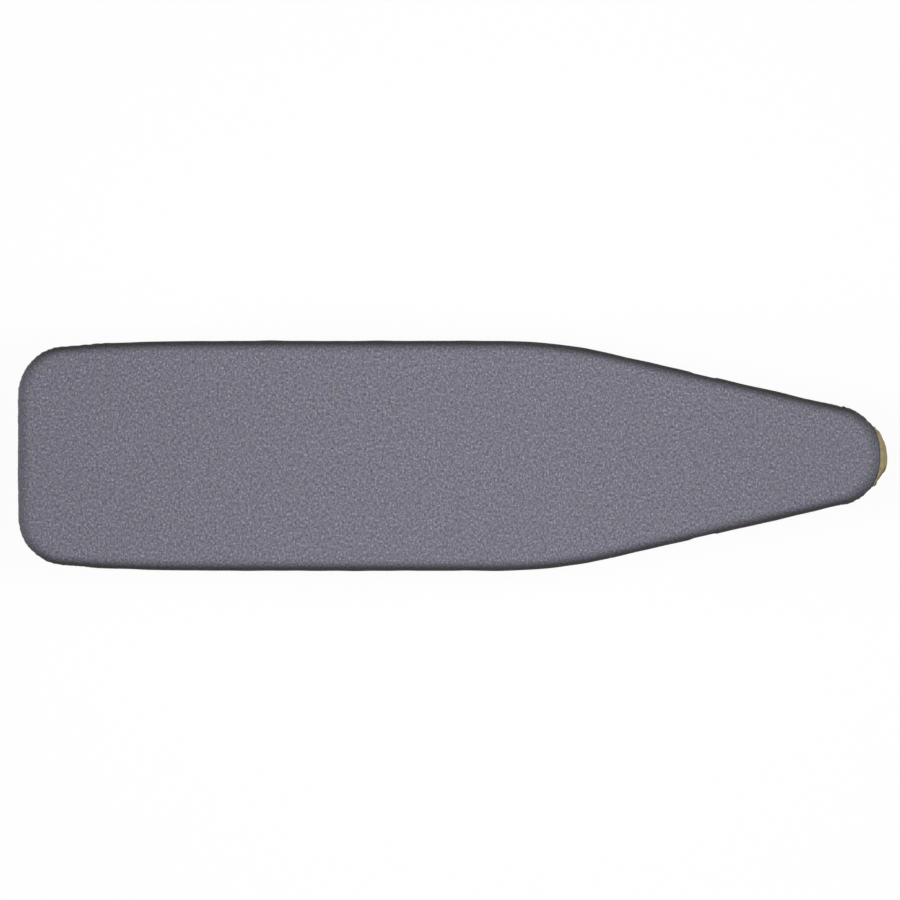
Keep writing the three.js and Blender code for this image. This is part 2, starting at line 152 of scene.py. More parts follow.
class BoardEdge:
    """Plan of the face cloth's edge. A run along it, from the tip of the nose, gives a point and a normal:
    positive runs go round the +Y side to the middle of the square end, and negative ones round the other."""

    STEP = 0.001
    WIDEST_EASE = 0.55  # shares of the side's run over which it keeps its direction at each end
    CORNER_EASE = 0.25
    BEND_CROWDING = 1.5
    CROWDING_STEPS = 2000

    def __init__(self, sizes):
        self.sizes = sizes
        self.rows = []
        self.runs = []
        half = FACE_HIGH.y
        rear = FACE_LOW.x
        self.nose = Vector((FACE_HIGH.x - sizes.nose_radius, 0))
        self.corner = Vector((rear + sizes.corner_radius, sizes.rear_flat / 2))
        shoulder = Vector((rear + sizes.shoulder_from_rear, half - sizes.shoulder_radius))
        between = shoulder - self.nose
        taper = math.atan2(between.x, between.y) + math.acos(
            (sizes.nose_radius - sizes.shoulder_radius) / between.length)
        taper_heading = QUARTER - taper
        lead_heading = QUARTER + sizes.corner_lead
        widest = Vector((rear + sizes.widest_from_rear, half))
        self.add_arc(self.nose, sizes.nose_radius, 0, taper_heading)
        self.nose_run = self.runs[-1]
        self.add_arc(shoulder, sizes.shoulder_radius, taper_heading, QUARTER)
        self.add_row(widest, QUARTER)
        self.add_side(widest, lead_heading)
        self.corner_run = self.runs[-1] + sizes.corner_radius * (math.pi - lead_heading) / 2
        self.add_arc(self.corner, sizes.corner_radius, lead_heading, math.pi)
        self.rear_run = self.runs[-1]
        self.add_row(Vector((rear, 0)), math.pi)
        self.half_length = self.runs[-1]

    def add_row(self, point, heading):
        """Adds one point of the edge, with the direction of its outward normal."""
        run = self.runs[-1] + (point - self.rows[-1][0]).length if self.rows else 0.0
        self.rows.append((point, heading))
        self.runs.append(run)

    def add_arc(self, centre, radius, start, end):
        """Adds a round stretch, whose normal points away from its centre."""
        count = max(2, round(radius * (end - start) / self.STEP))
        for index in range(count + 1):
            heading = start + (end - start) * index / count
            self.add_row(centre + radius * Vector((math.cos(heading), math.sin(heading))), heading)

    def add_side(self, widest, lead_heading):
        """Adds the bowed side, from its widest point to the rear corner."""
        out = Vector((math.cos(lead_heading), math.sin(lead_heading)))
        end = self.corner + self.sizes.corner_radius * out
        run = widest.x - end.x
        ease_out = widest - Vector((self.WIDEST_EASE * run, 0))
        ease_in = end + self.CORNER_EASE * run * Vector((1, math.tan(self.sizes.corner_lead)))
        count = round(run / self.STEP)
        for index in range(1, count):
            t = index / count
            ab, bc, cd = widest.lerp(ease_out, t), ease_out.lerp(ease_in, t), ease_in.lerp(end, t)
            abc, bcd = ab.lerp(bc, t), bc.lerp(cd, t)
            along = bcd - abc
            self.add_row(abc.lerp(bcd, t), math.atan2(-along.x, along.y))

    def at(self, run):
        """Point and outward normal at a run along the edge."""
        place = min(abs(run), self.half_length)
        index = min(max(bisect.bisect_left(self.runs, place), 1), len(self.runs) - 1)
        gap = self.runs[index] - self.runs[index - 1]
        share = (place - self.runs[index - 1]) / gap if gap > 0 else 0.0
        (point_a, heading_a), (point_b, heading_b) = self.rows[index - 1], self.rows[index]
        point = point_a.lerp(point_b, share)
        heading = heading_a + (heading_b - heading_a) * share
        side = -1 if run < 0 else 1
        return (Vector((point.x, side * point.y)),
                Vector((math.cos(heading), side * math.sin(heading))))

    def side_runs(self, count):
        """Runs along one side, from the nose to the square end, closer together on the bends."""
        start, end = self.nose_run / 2, self.rear_run
        steps = self.CROWDING_STEPS
        travel = [0.0]
        for step in range(steps):
            run = start + (end - start) * (step + 0.5) / steps
            travel.append(travel[-1] + 1 + self.BEND_CROWDING * bend(self, run))
        picks = [bisect.bisect_left(travel, travel[-1] * index / count) for index in range(count)]
        return [start + (end - start) * pick / steps for pick in picks]

    def ring(self, across, along):
        """Runs round the whole edge, counterclockwise: nose, +Y side, square end, -Y side."""
        nose = self.nose_run / 2
        rear = self.half_length - self.rear_run
        side = self.side_runs(along)
        front = [nose * (2 * index / across - 1) for index in range(across)]
        back = [self.rear_run + 2 * rear * index / across for index in range(across)]
        back = [run if run <= self.half_length else run - 2 * self.half_length for run in back]
        return [*front, *side, *back, -self.rear_run, *[-run for run in reversed(side[1:])]]


# Shape of the soft edge

FACE_GRID = (40, 420)  # columns of the face cloth and its hem across an end and along a side
BEND_REACH = 1.1  # reach of a bend along the edge, in runs of the nose's arc
STRAP_CALM = (0.02, 0.045)  # distance from a strap's middle within which the hem is held flat, then free
PLEAT_STEEPNESS = 2.6
PLEAT_ROUNDING = 0.07
PUCKER_SHARE = 0.45  # pitch of the fine puckers on the gathers, as a share of the gathers' own
PUCKER_HEIGHT = 0.3
GATHER_EASE = 1.15  # how the gathers grow across the return, from its fold to its hem
GATHER_LIFT = 0.35
GATHER_LOWEST = -0.15
SKIRT_TOP = 0.65  # share of the roll's height below its top at which the skirt starts to hang free
SKIRT_FULLNESS = 0.0006  # how far the skirt stands out past the padded edge
SKIRT_DRIFT = 0.0009
SKIRT_DRIFT_PITCH = 0.045
SKIRT_CREASE = 0.0012  # depth of the skirt's creases round corners and nose
CREASE_FROM = 0.9  # crest of the pleats, from which a crease's depth is measured
CREASE_DEEPEST = 1.6
STRAP_PULL = 0.0014  # how far the front straps draw the skirt in
STRAP_PULL_EASE = 0.003


def smooth_step(value):
    """Eases a share from 0 to 1."""
    share = min(max(value, 0.0), 1.0)
    return share * share * (3 - 2 * share)


def wander(x, y, seed, pitch):
    """Smooth noise of about -1 to 1 at a place, with waves of about a pitch. Each seed gives its own."""
    return noise.noise(Vector((x, y, seed)) / pitch)


def calm(point):
    """0 where a strap holds the hem flat, 1 away from the straps."""
    near = min(abs(point.x - middle) for middle in STRAP_MIDDLES)
    return smooth_step((near - STRAP_CALM[0]) / (STRAP_CALM[1] - STRAP_CALM[0]))


def bend(edge, run):
    """1 round the nose and the rear corners, falling to 0 along the sides."""
    reach = BEND_REACH * edge.nose_run
    nose = math.exp(-(run / reach) ** 2)
    corner = math.exp(-((abs(run) - edge.corner_run) / reach) ** 2)
    return max(nose, corner)


def pleat(edge, run):
    """Crest and hollow of the cloth's gathers at a run along the edge, about -1 to 1."""
    point, _ = edge.at(run)
    pitch = edge.sizes.gather_pitch
    folds = wander(*point, 0.37, pitch)
    puckers = wander(*point, 0.61, PUCKER_SHARE * pitch)
    return 1.0 - PLEAT_STEEPNESS * math.hypot(folds, PLEAT_ROUNDING) + PUCKER_HEIGHT * puckers


def gather(edge, run):
    """How far the elastic lifts the gathered hem at a run along the edge."""
    point, _ = edge.at(run)
    sizes = edge.sizes
    height = sizes.gather_straight + (sizes.gather_bend - sizes.gather_straight) * bend(edge, run)
    return height * max(GATHER_LIFT + pleat(edge, run), GATHER_LOWEST) * calm(point)


def roll_inset(sizes, z):
    """How far the face cloth lies in from the edge at a height, on its way up the roll."""
    climb = max(z - FACE_HIGH.z + sizes.roll_height, 0.0) / sizes.roll_height
    return sizes.roll_width * (1 - math.sqrt(max(1 - climb * climb, 0.0)))


def skirt_shift(edge, run, z):
    """How far the hanging skirt lies in from the edge's plan at a height, beside the roll itself."""
    point, _ = edge.at(run)
    sizes = edge.sizes
    start = FACE_HIGH.z - SKIRT_TOP * sizes.roll_height
    low = smooth_step((start - z) / (start - FACE_LOW.z - sizes.hem_fold))
    if low == 0:
        return 0.0
    free = calm(point)
    beside = max(FRONT_STRAP[0].x - point.x, point.x - FRONT_STRAP[1].x)
    pull = STRAP_PULL * smooth_step(0.5 - beside / STRAP_PULL_EASE)
    drift = SKIRT_DRIFT * wander(*point, 2.3, SKIRT_DRIFT_PITCH) * free
    depth = min(CREASE_FROM - pleat(edge, run), CREASE_DEEPEST)
    crease = SKIRT_CREASE * low * depth * bend(edge, run) * free
    return low * (drift + pull + crease - SKIRT_FULLNESS)


# Building meshes


def new_sheet():
    """An empty mesh whose points remember their column and their place on the flat cloth."""
    bm = bmesh.new()
    bm.verts.layers.int.new("column")
    bm.verts.layers.float_vector.new("flat")
    return bm


def sweep_rows(columns, rows, place, closed):
    """A sheet whose first row is a chain of edges, a point for each column, extruded row by row, and the
    edges of each row. place(column, row) gives a point and its place on the flat cloth."""
    bm = new_sheet()
    column = bm.verts.layers.int["column"]
    flat = bm.verts.layers.float_vector["flat"]

    def put(vert, row):
        vert.co, vert[flat] = place(columns[vert[column]], row)

    chain = []
    for index in range(len(columns)):
        vert = bm.verts.new()
        vert[column] = index
        put(vert, rows[0])
        chain.append(vert)
    pairs = list(zip(chain, chain[1:] + chain[:1] if closed else chain[1:]))
    rings = [[bm.edges.new(pair) for pair in pairs]]
    for row in rows[1:]:
        grown = bmesh.ops.extrude_edge_only(bm, edges=rings[-1])["geom"]
        fresh = {item for item in grown if isinstance(item, bmesh.types.BMVert)}
        for vert in fresh:
            put(vert, row)
        rings.append([
            item for item in grown
            if isinstance(item, bmesh.types.BMEdge) and fresh.issuperset(item.verts)
            and item.verts[0][column] != item.verts[1][column]
        ])
    return bm, rings


def fill_cap(bm, ring, across, along):
    """Fills a ring with a grid of quads that runs from the nose to the square end."""
    column = bm.verts.layers.int["column"]
    flat = bm.verts.layers.float_vector["flat"]
    chains = (range(0, across), range(across + along, 2 * across + along))
    ends = []
    for item in ring:
        low, high = sorted(vert[column] for vert in item.verts)
        if high - low == 1 and any(low in chain for chain in chains):
            ends.append(item)
    made = bmesh.ops.grid_fill(bm, edges=ends, mat_nr=0, use_smooth=True, use_interp_simple=True)
    for vert in {vert for face in made["faces"] for vert in face.verts}:
        vert[flat] = vert.co


def to_mesh(bm, name):
    """Ends the building of a mesh."""
    mesh = bpy.data.meshes.new(name)
    bm.to_mesh(mesh)
    bm.free()
    return mesh


def finish_mesh(bm, name, material, body="cover", outward=True):
    """Turns a mesh under construction into an object that rides on a body, unless body is None."""
    if outward:
        bmesh.ops.recalc_face_normals(bm, faces=bm.faces)
    flat = bm.verts.layers.float_vector.get("flat")
    if flat is not None:
        uv = bm.loops.layers.uv.new("flat_cloth")
        for face in bm.faces:
            for loop in face.loops:
                loop[uv].uv = loop.vert[flat].xy
    for face in bm.faces:
        face.smooth = True
    mesh = to_mesh(bm, name)
    mesh.materials.append(material)
    piece = bpy.data.objects.new(name, mesh)
    bpy.context.scene.collection.objects.link(piece)
    if body is not None:
        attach(piece, body)
    return piece


def thicken(piece, thickness):
    """Gives a sheet its thickness, inwards from the surface that was modelled."""
    wall = piece.modifiers.new("thickness", "SOLIDIFY")
    wall.thickness = thickness
    wall.offset = -1


def arc_rows(inset, level, across, up, start, end, steps):
    """Points of an elliptical arc in a profile, as (inset, z)."""
    angles = [start + (end - start) * step / steps for step in range(steps + 1)]
    return [(inset - across * math.cos(a), level + up * math.sin(a)) for a in angles]


def line_rows(start, end, steps):
    """Points of a straight stretch of a profile, without its first."""
    return [tuple(a + (b - a) * step / steps for a, b in zip(start, end)) for step in range(1, steps + 1)]


def developed(rows):
    """Adds to each (inset, z) point of a profile its distance along the cloth from the first."""
    travel = 0.0
    result = []
    for index, row in enumerate(rows):
        if index:
            travel += math.dist(rows[index - 1], row)
        result.append((*row, travel))
    return result


# Nodes


def add_node(tree, kind, values=None, **settings):
    """A node with its settings, its plain socket values and its links in one go."""
    node = tree.nodes.new(kind)
    for key, value in settings.items():
        setattr(node, key, value)
    for socket, value in (values or {}).items():
        if isinstance(value, bpy.types.NodeSocket):
            tree.links.new(value, node.inputs[socket])
        else:
            node.inputs[socket].default_value = value
    return node


def tree_of(values):
    """The node tree of the sockets among some values."""
    return next(value.id_data for value in values if isinstance(value, bpy.types.NodeSocket))


def maths(operation, *values):
    """The result of a Math node on sockets and plain numbers."""
    node = add_node(tree_of(values), "ShaderNodeMath", dict(enumerate(values)), operation=operation)
    return node.outputs[0]


def weighted(*pairs):
    """The sum of values, each times its weight."""
    total = 0.0
    for value, weight in pairs:
        total = maths("MULTIPLY_ADD", value, weight, total)
    return total


def stripes(value, pitch):
    """Soft stripes of 0 to 1, a pitch apart along a value."""
    wave = maths("SINE", maths("MULTIPLY", value, 2 * math.pi / pitch))
    return maths("MULTIPLY_ADD", wave, 0.5, 0.5)


def mix_colours(share, first, second, weight=1.0, blend="MIX"):
    """The result of mixing two colours, sockets or plain ones, by a share times a weight."""
    first, second = (colour if isinstance(colour, bpy.types.NodeSocket) else (*colour, 1.0)
                     for colour in (first, second))
    if weight != 1.0:
        share = maths("MULTIPLY", share, weight)
    return add_node(tree_of((share, first, second)), "ShaderNodeMix", {0: share, 6: first, 7: second},
                    data_type="RGBA", blend_type=blend).outputs[2]


def tinted(colour, share, first, second):
    """A colour times a mix of two tints."""
    return mix_colours(1.0, colour, mix_colours(share, first, second), blend="MULTIPLY")


def darker(colour, share):
    """A plain colour times a share."""
    return [share * value for value in colour]


def grain(vector, pitch, stretch=(1, 1, 1), detail=2.0, roughness=0.5):
    """Noise whose grains are about pitch metres across, drawn out along each axis by stretch."""
    tree = vector.id_data
    scaled = add_node(tree, "ShaderNodeVectorMath", {0: vector, 1: [1 / (pitch * s) for s in stretch]},
                      operation="MULTIPLY").outputs[0]
    values = {"Vector": scaled, "Scale": 1.0, "Detail": detail, "Roughness": roughness}
    return add_node(tree, "ShaderNodeTexNoise", values).outputs["Fac"]


def ramp(value, low, high):
    """Maps a value so that low gives 0 and high gives 1, clamped."""
    return add_node(value.id_data, "ShaderNodeMapRange", {"Value": value, "From Min": low, "From Max": high},
                    interpolation_type="SMOOTHSTEP").outputs["Result"]


def turned(vector, angle):
    """A place turned about Z."""
    return add_node(vector.id_data, "ShaderNodeVectorRotate", {"Vector": vector, "Angle": angle},
                    rotation_type="Z_AXIS").outputs[0]


def split(vector):
    """X, Y and Z of a place."""
    return add_node(vector.id_data, "ShaderNodeSeparateXYZ", {0: vector}).outputs


def cloth_vector(tree):
    """Place on the flat cloth, from the piece's own map."""
    return add_node(tree, "ShaderNodeUVMap", uv_map="flat_cloth").outputs[0]


def object_vector(tree):
    """Place in the object's own frame."""
    return add_node(tree, "ShaderNodeTexCoord").outputs["Object"]


def painted_shade_mask(tree):
    """How much painted shade a piece's own points get."""
    return add_node(tree, "ShaderNodeAttribute", attribute_name="rubbed").outputs["Fac"]


def seen_mask(tree):
    """1 for what the eye sees, straight or in a reflection, and 0 for the light that falls on the cover."""
    light = add_node(tree, "ShaderNodeLightPath").outputs
    mirrored = maths("MAXIMUM", light["Is Glossy Ray"], light["Is Transmission Ray"])
    return maths("MAXIMUM", light["Is Camera Ray"], mirrored)


def use_group(name, fill, outputs, values):
    """Outputs of the node group of that name, placed in the tree of its values. The first use makes the
    group: fill(inputs) gives its outputs."""
    group = bpy.data.node_groups.get(name)
    if group is None:
        group = bpy.data.node_groups.new(name, "ShaderNodeTree")
        for label in values:
            kind = "NodeSocketVector" if label == "Vector" else "NodeSocketFloat"
            group.interface.new_socket(label, in_out="INPUT", socket_type=kind)
        for label in outputs:
            group.interface.new_socket(label, in_out="OUTPUT", socket_type="NodeSocketFloat")
        given = group.nodes.new("NodeGroupInput").outputs
        result = group.nodes.new("NodeGroupOutput").inputs
        for label, socket in zip(outputs, fill(given)):
            group.links.new(socket, result[label])
    return add_node(tree_of(values.values()), "ShaderNodeGroup", values, node_tree=group).outputs


def fill_weave(given):
    """Over and under of a plain weave: height, and a mask of the gaps between the yarns."""
    scaled = add_node(given["Vector"].id_data, "ShaderNodeVectorMath",
                      {0: given["Vector"], "Scale": given["Yarns per metre"]}, operation="SCALE").outputs[0]
    parts = split(scaled)
    across, along = (maths("SINE", maths("MULTIPLY", parts[axis], math.pi)) for axis in ("X", "Y"))
    over = maths("MULTIPLY", across, along)
    crown = maths("MULTIPLY", maths("ABSOLUTE", across), maths("ABSOLUTE", along))
    return maths("MULTIPLY_ADD", over, 0.35, crown), maths("SUBTRACT", 1.0, crown)


def fill_fibres(given):
    """Matted fibres: crossing streaks of noise in several directions as one height, and a mask of flecks."""
    streaks = 0.0
    for angle in (0.2, 0.75, 1.45, 2.0, 2.7):
        streak = grain(turned(given["Vector"], angle), 0.0006, stretch=(8, 0.8, 3))
        streaks = maths("MAXIMUM", streaks, streak)
    flecks = grain(given["Vector"], 0.0020, stretch=(3, 1, 1), detail=1.0)
    return streaks, ramp(flecks, 0.68, 0.76)


def plain_weave(vector, yarns):
    """Height and gaps of a plain weave with so many yarns to a metre."""
    return use_group("Plain weave", fill_weave, ("Height", "Gap"),
                     {"Vector": vector, "Yarns per metre": yarns})


# Looks: each gives a colour and a height


def heather(tree, colours):
    """Charcoal heather: dark and pale yarns mixed as grains along warp and weft, with sparse pale flecks."""
    vector = cloth_vector(tree)
    blend = grain(vector, 0.0031, stretch=(1.15, 1.4, 1), roughness=0.45)
    warp = grain(vector, 0.0010, stretch=(7, 1, 1))
    weft = grain(vector, 0.0010, stretch=(1, 7, 1))
    yarns = weighted((warp, 0.25), (weft, 0.25), (blend, 0.5))
    flecks = ramp(grain(vector, 0.0026, stretch=(1, 1.3, 1), detail=0.0), 0.55, 0.85)
    clouds = ramp(grain(vector, 0.022), 0.35, 0.65)
    weave = plain_weave(vector, 1100.0)
    # Painted shade: a dark brown laid down the roll along the long sides
    shade_colour = (0.040, 0.024, 0.004)
    colour = mix_colours(ramp(yarns, 0.23, 0.77), colours.heather_dark, colours.heather_mid)
    colour = mix_colours(flecks, colour, colours.heather_pale, weight=0.50)
    colour = tinted(colour, clouds, (1.0, 0.968, 1.022), (1.0, 0.988, 0.978))
    # Painted shade in the gaps between the yarns
    colour = mix_colours(weave["Gap"], colour, colours.heather_dark, weight=0.18)
    # Painted shade down the roll of the long sides
    colour = mix_colours(painted_shade_mask(tree), colour, shade_colour, weight=0.57)
    return colour, weighted((weave["Height"], 1.0), (yarns, 0.8))


def twill(tree, colours):
    """Plain tan twill: fine slanting ribs, with yarns that vary a little in colour."""
    vector = cloth_vector(tree)
    slanted = turned(vector, 1.05)
    ribs = stripes(split(slanted)["X"], 0.0009)
    yarns = grain(slanted, 0.0009, stretch=(1, 6, 1), detail=3.0, roughness=0.6)
    clouds = grain(vector, 0.012, detail=3.0)
    mottle = weighted((yarns, 0.8), (ribs, 0.16), (clouds, 0.4))
    colour = mix_colours(ramp(mottle, 0.25, 1.05), colours.tan_dark, colours.tan)
    # Painted shade on the pocket's outermost fold, beside the slack front
    colour = mix_colours(painted_shade_mask(tree), colour, darker(colours.tan_dark, 0.4), weight=0.75)
    return colour, maths("ADD", ribs, yarns)


def needled_felt(tree, colours):
    """Needled felt: matted pale fibres with a few dark ones."""
    vector = object_vector(tree)
    fibres = use_group("Matted fibres", fill_fibres, ("Height", "Flecks"), {"Vector": vector})
    colour = mix_colours(ramp(fibres["Height"], 0.40, 0.78), colours.felt_dark, colours.felt)
    colour = mix_colours(fibres["Flecks"], colour, colours.heather_dark, weight=0.7)
    colour = tinted(colour, grain(vector, 0.03, detail=3.0), (0.88, 0.88, 0.90), (1.06, 1.04, 1.0))
    return colour, fibres["Height"]


def open_foam(tree, colours):
    """Open-cell foam: pale, with painted shade in its small pores."""
    cells = add_node(tree, "ShaderNodeTexVoronoi", {"Vector": object_vector(tree), "Scale": 900.0})
    pores = ramp(cells.outputs["Distance"], 0.10, 0.45)
    return mix_colours(pores, darker(colours.foam, 0.55), colours.foam), pores


def covered_elastic(tree, colours):
    """Covered elastic: fine crossing braid, with painted shade in the gaps between its strands."""
    weave = plain_weave(cloth_vector(tree), 1500.0)
    return mix_colours(weave["Gap"], colours.elastic, darker(colours.elastic, 0.5)), weave["Height"]


def elastic_webbing(tree, colours):
    """Woven elastic webbing: short slanting yarns in lengthwise ribs, with a painted highlight where they
    stand up.
    """
    vector = cloth_vector(tree)
    parts = split(vector)
    rib = maths("PINGPONG", parts["X"], 0.0012)
    picks = stripes(maths("MULTIPLY_ADD", rib, 1.2, parts["Y"]), 0.0013)
    height = weighted((grain(vector, 0.0006, stretch=(1, 3, 1)), 0.6), (picks, 0.8))
    return mix_colours(ramp(height, 0.35, 1.05), colours.webbing, colours.webbing_pale), height


def tape(colour_name, pitch):
    """Look of a hook or loop patch's base and pile: one dark colour with a fine grain."""
    def look(tree, colours):
        colour = getattr(colours, colour_name)
        fuzz = grain(object_vector(tree), pitch, detail=3.0, roughness=0.7)
        pale = [min(1.0, 2.2 * value + 0.01) for value in colour]
        return mix_colours(ramp(fuzz, 0.3, 0.8), colour, pale), fuzz
    return look


def thread(colour_name):
    """Look of twisted sewing thread: plies along each stitch."""
    def look(tree, colours):
        colour = getattr(colours, colour_name)
        plies = grain(object_vector(tree), 0.0004)
        return mix_colours(ramp(plies, 0.3, 0.65), darker(colour, 0.62), colour), plies
    return look


# Materials

SHEEN_ROUGHNESS = 0.6
# Look, roughness, sheen, shine, and the depth and strength of the relief
MATERIALS = {
    "heather_cloth": (heather, 0.9, 0.0, 0.08, 0.00012, 0.5),
    "twill_weave": (twill, 0.85, 0.05, 0.25, 0.0001, 0.5),
    "needled_felt": (needled_felt, 0.95, 0.15, 0.25, 0.0006, 0.8),
    "open_foam": (open_foam, 0.9, 0.0, 0.25, 0.0004, 0.7),
    "covered_elastic": (covered_elastic, 0.7, 0.0, 0.25, 0.0002, 0.6),
    "elastic_webbing": (elastic_webbing, 0.75, 0.1, 0.25, 0.0002, 0.7),
    "hook_tape": (tape("hooks", 0.0008), 0.5, 0.1, 0.25, 0.0003, 0.6),
    "loop_tape": (tape("loops", 0.0006), 0.9, 0.1, 0.25, 0.0003, 0.6),
    "tan_thread": (thread("tan_thread"), 0.6, 0.1, 0.25, 0.0001, 0.6),
    "grey_thread": (thread("thread"), 0.6, 0.1, 0.25, 0.0001, 0.6),
}


def plain_material(name, roughness, sheen=0.0, shine=0.0):
    """A new material, and its shader with plain values."""
    material = bpy.data.materials.new(name)
    material.use_nodes = True
    shader = material.node_tree.nodes["Principled BSDF"]
    values = {"Roughness": roughness, "Sheen Weight": sheen, "Sheen Roughness": SHEEN_ROUGHNESS,
              "Specular IOR Level": shine}
    for socket, value in values.items():
        shader.inputs[socket].default_value = value
    return material, shader


def cloth_material(name):
    """A new material with a look from the table."""
    look, roughness, sheen, shine, depth, strength = MATERIALS[name]
    material, shader = plain_material(name, roughness, sheen, shine)
    tree = material.node_tree
    colour, height = look(tree, bpy.context.scene.cover_colours)
    relief = add_node(tree, "ShaderNodeBump", {"Height": height, "Distance": depth, "Strength": strength})
    tree.links.new(colour, shader.inputs["Base Color"])
    tree.links.new(relief.outputs[0], shader.inputs["Normal"])
    return material


def shared_material(name):
    """A material that several steps share, made the first time that it is asked for. The frame has some of
    the other names, so those are always made new."""
    return bpy.data.materials.get(name) or cloth_material(name)


# Repeated shapes

STITCH_LENGTH = 0.42  # half a stitch, as a share of the pitch
STITCH_WIDTH = 0.00032
STITCH_HEIGHT = 0.00026


def scatter(name, unit, places, material, body):
    """One piece made of a small mesh repeated at many places."""
    bm = bmesh.new()
    for place in places:
        copy = unit.copy()
        copy.transform(place)
        bm.from_mesh(copy)
        bpy.data.meshes.remove(copy)
    bpy.data.meshes.remove(unit)
    return finish_mesh(bm, name, material, body, outward=False)


def sew(name, places, pitch, thread_name, body="cover"):
    """Stitches at some places: slim beads of thread along their own X, a little shorter than the pitch."""
    bm = bmesh.new()
    bmesh.ops.create_uvsphere(bm, u_segments=6, v_segments=4, radius=1.0)
    bmesh.ops.rotate(bm, verts=bm.verts, matrix=Matrix.Rotation(QUARTER, 3, "Y"))
    bmesh.ops.scale(bm, verts=bm.verts, vec=(STITCH_LENGTH * pitch, STITCH_WIDTH, STITCH_HEIGHT))
    scatter(name, to_mesh(bm, "stitch"), places, shared_material(thread_name), body)


def along_path(points, pitch, up):
    """Places for stitches along a path of points, a pitch apart, lying flat with up as their upper side."""
    places = []
    spare = 0.0
    for start, end in zip(points, points[1:]):
        span = (end - start).length
        if span == 0:
            continue
        ahead = (end - start) / span
        side = up.cross(ahead).normalized()
        turn = Matrix((ahead, side, ahead.cross(side))).transposed().to_4x4()
        while spare <= span:
            places.append(Matrix.Translation(start + ahead * spare) @ turn)
            spare += pitch
        spare -= span
    return places


def rectangle(left, right, near, far, z):
    """Corners of a level rectangle."""
    return [Vector((x, y, z)) for x, y in ((left, near), (right, near), (right, far), (left, far))]


# Pieces


class CoverStep:
    """What all the steps share: each makes its pieces from the scene's sizes and the plan of the edge"""

    def execute(self, context):
        self.sizes = context.scene.cover_sizes
        self.edge = BoardEdge(self.sizes)
        self.make()
        return {"FINISHED"}


class BOARDCOVER_OT_face(CoverStep, bpy.types.Operator):
    """Makes the stretched face cloth, from the flat top round to the gathered return"""

    bl_idname = "boardcover.face"
    bl_label = "Face cloth"

    ROLL_ROWS = 11
    WALL_ROWS = 4
    FOLD_ROWS = 4
    RETURN_ROWS = 9
    FLAT_SHARE = 0.86  # of the flat cloth's rectangle
    # Shares of the roll's height, down from its top, where the painted shade starts, is full, fades and is
    # gone
    RUBBED = (0.03, 0.46, 0.75, 1.1)

    def paint_side_shade(self, bm, runs):
        """Marks how much painted shade each point of the cloth gets: along the long sides, down the roll."""
        column = bm.verts.layers.int["column"]
        shade_layer = bm.verts.layers.float.new("rubbed")
        starts, full, fades, gone = self.RUBBED
        for vert in bm.verts:
            down = (FACE_HIGH.z - vert.co.z) / self.sizes.roll_height
            shade_share = smooth_step((down - starts) / (full - starts))
            shade_share -= smooth_step((down - fades) / (gone - fades))
            _, normal = self.edge.at(runs[vert[column]])
            vert[shade_layer] = shade_share * normal.y ** 2

    def make(self):
        sizes, edge = self.sizes, self.edge
        width, height, fold = sizes.roll_width, sizes.roll_height, sizes.hem_fold
        roll_level = FACE_HIGH.z - height
        fold_level = FACE_LOW.z + fold
        rows = arc_rows(width, roll_level, width, height, QUARTER, 0, self.ROLL_ROWS)
        rows += line_rows((0, roll_level), (0, fold_level), self.WALL_ROWS)
        rows += arc_rows(fold, fold_level, fold, fold, 0, -QUARTER, self.FOLD_ROWS)[1:]
        rows += line_rows(rows[-1], (sizes.return_width, FACE_LOW.z), self.RETURN_ROWS)
        rows = developed(rows)

        def place(run, row):
            inset, z, travel = row
            point, normal = edge.at(run)
            inset += skirt_shift(edge, run, z)
            if z <= fold_level and inset > fold:
                depth = (inset - fold) / (sizes.return_width - fold)
                z += gather(edge, run) * depth ** GATHER_EASE
            inner = point - normal * inset
            flat = point + normal * (travel - width)
            return Vector((*inner, z)), Vector((*flat, 0))

        runs = edge.ring(*FACE_GRID)
        bm, rings = sweep_rows(runs, rows, place, closed=True)
        fill_cap(bm, rings[0], *FACE_GRID)
        self.paint_side_shade(bm, runs)
        cloth = finish_mesh(bm, "face_cloth", cloth_material("heather_cloth"))
        thicken(cloth, sizes.cloth_thickness)
        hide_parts("face_cover")


